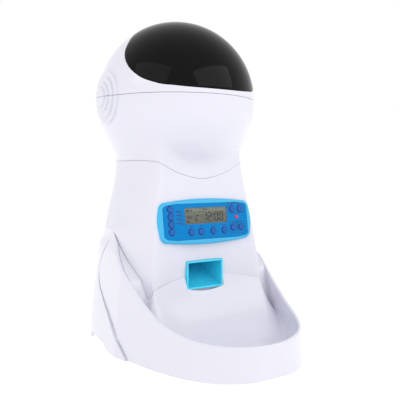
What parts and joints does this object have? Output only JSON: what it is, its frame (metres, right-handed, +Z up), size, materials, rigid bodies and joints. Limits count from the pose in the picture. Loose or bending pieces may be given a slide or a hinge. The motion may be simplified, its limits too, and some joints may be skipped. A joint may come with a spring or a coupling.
{
  "type": "automatic pet feeder",
  "caption": "Automatic pet feeder: round lift-off hopper lid on a flared column, timer panel with push keys, sloping food chute and a slide-off winged bowl tray.",
  "frame": {"origin": "middle of the footprint's bounding box, on the floor", "axes": "+Z up, the bowl and panel face -Y, +X to the feeder's left-right symmetry partner; mirror plane x = 0"},
  "size_m": [0.1888, 0.2548, 0.338],
  "materials": {
    "white_plastic": "glossy white",
    "white_inner": "matt white",
    "black_gloss": "glossy black",
    "sky_blue": "glossy sky blue",
    "panel_blue": "satin blue",
    "chute_blue": "glossy blue",
    "key_blue": "satin blue",
    "lens": "clear",
    "lcd_grey": "grey-green film",
    "grey_rubber": "matt",
    "black_rubber": "matt",
    "board_green": "solder mask",
    "chip_black": "matt",
    "red_led": "clear red",
    "smoke": "smoked",
    "steel": "brushed",
    "gear_white": "natural nylon",
    "cell_jacket": "printed jacket",
    "contact_metal": "plated"
  },
  "bodies": {
    "housing": {"body_shell": "white_plastic", "base_plate": "white_inner", "head_housing": "white_plastic", "neck_ring": "white_inner", "hopper_funnel": "white_inner", "rotor_housing": "white_inner", "food_chute": "chute_blue", "panel_bezel": "sky_blue", "panel_overlay": "panel_blue", "lcd_lens": "lens", "lcd_module": "lcd_grey", "keypad_mat": "grey_rubber", "panel_board": "board_green", "status_led": "red_led", "microphone": "chip_black", "infrared_sensor": "smoke", "drive_motor": "steel", "motor_bracket": "steel", "battery_cells": "cell_jacket", "battery_contacts": "contact_metal", "battery_box": "white_inner", "main_board": "board_green", "board_stands": "white_inner", "board_parts": "chip_black", "speaker": "chip_black", "dc_jack": "chip_black", "rubber_feet": "black_rubber", "base_screws": "steel"},
    "lid": {"lid_shell": "white_plastic", "lid_visor": "black_gloss", "lid_seal": "grey_rubber"},
    "tray": {"bowl_tray": "white_plastic", "tray_pads": "black_rubber"},
    "door": {"battery_door": "white_plastic"},
    "rotor_group": {"rotor": "grey_rubber", "rotor_shaft": "steel", "rotor_gear": "gear_white"},
    "pinion_group": {"drive_pinion": "contact_metal", "motor_shaft": "steel"},
    "meal_key_1": {"meal_key_1": "key_blue"},
    "meal_key_2": {"meal_key_2": "key_blue"},
    "meal_key_3": {"meal_key_3": "key_blue"},
    "meal_key_4": {"meal_key_4": "key_blue"},
    "set_key_1": {"set_key_1": "key_blue"},
    "set_key_2": {"set_key_2": "key_blue"},
    "set_key_3": {"set_key_3": "key_blue"},
    "set_key_4": {"set_key_4": "key_blue"},
    "record_key": {"record_key": "key_blue"},
    "play_key": {"play_key": "key_blue"},
    "feed_key": {"feed_key": "key_blue"},
    "enter_key": {"enter_key": "key_blue"}
  },
  "joints": [
    {"name": "lid_lift", "type": "slide", "parent": "housing", "child": "lid", "axis": [0, 0, 1], "range_m": [0, 0.12]},
    {"name": "tray_slide", "type": "slide", "parent": "housing", "child": "tray", "axis": [0, -1, 0], "range_m": [0, 0.2]},
    {"name": "door_pull", "type": "slide", "parent": "housing", "child": "door", "axis": [0, 1, 0], "range_m": [0, 0.06]},
    {"name": "rotor_spin", "type": "hinge", "parent": "housing", "child": "rotor_group", "pos_m": [0, 0.0374, 0.131], "axis": [1, 0, 0], "continuous": true},
    {"name": "pinion_spin", "type": "hinge", "parent": "housing", "child": "pinion_group", "pos_m": [0, 0.0518, 0.11044], "axis": [1, 0, 0], "continuous": true},
    {"name": "meal_key_1_press", "type": "slide", "parent": "housing", "child": "meal_key_1", "axis": [0, 0.9877, -0.1564], "range_m": [0, 0.0008], "stiffness_N_per_m": 400},
    {"name": "meal_key_2_press", "type": "slide", "parent": "housing", "child": "meal_key_2", "axis": [0, 0.9877, -0.1564], "range_m": [0, 0.0008], "stiffness_N_per_m": 400},
    {"name": "meal_key_3_press", "type": "slide", "parent": "housing", "child": "meal_key_3", "axis": [0, 0.9877, -0.1564], "range_m": [0, 0.0008], "stiffness_N_per_m": 400},
    {"name": "meal_key_4_press", "type": "slide", "parent": "housing", "child": "meal_key_4", "axis": [0, 0.9877, -0.1564], "range_m": [0, 0.0008], "stiffness_N_per_m": 400},
    {"name": "set_key_1_press", "type": "slide", "parent": "housing", "child": "set_key_1", "axis": [0, 0.9877, -0.1564], "range_m": [0, 0.0008], "stiffness_N_per_m": 400},
    {"name": "set_key_2_press", "type": "slide", "parent": "housing", "child": "set_key_2", "axis": [0, 0.9877, -0.1564], "range_m": [0, 0.0008], "stiffness_N_per_m": 400},
    {"name": "set_key_3_press", "type": "slide", "parent": "housing", "child": "set_key_3", "axis": [0, 0.9877, -0.1564], "range_m": [0, 0.0008], "stiffness_N_per_m": 400},
    {"name": "set_key_4_press", "type": "slide", "parent": "housing", "child": "set_key_4", "axis": [0, 0.9877, -0.1564], "range_m": [0, 0.0008], "stiffness_N_per_m": 400},
    {"name": "record_key_press", "type": "slide", "parent": "housing", "child": "record_key", "axis": [0, 0.9877, -0.1564], "range_m": [0, 0.0008], "stiffness_N_per_m": 400},
    {"name": "play_key_press", "type": "slide", "parent": "housing", "child": "play_key", "axis": [0, 0.9877, -0.1564], "range_m": [0, 0.0008], "stiffness_N_per_m": 400},
    {"name": "feed_key_press", "type": "slide", "parent": "housing", "child": "feed_key", "axis": [0, 0.9877, -0.1564], "range_m": [0, 0.0008], "stiffness_N_per_m": 400},
    {"name": "enter_key_press", "type": "slide", "parent": "housing", "child": "enter_key", "axis": [0, 0.9877, -0.1564], "range_m": [0, 0.0008], "stiffness_N_per_m": 400}
  ],
  "couplings": [
    {"joint": "pinion_spin", "follows": "rotor_spin", "ratio": -4}
  ]
}
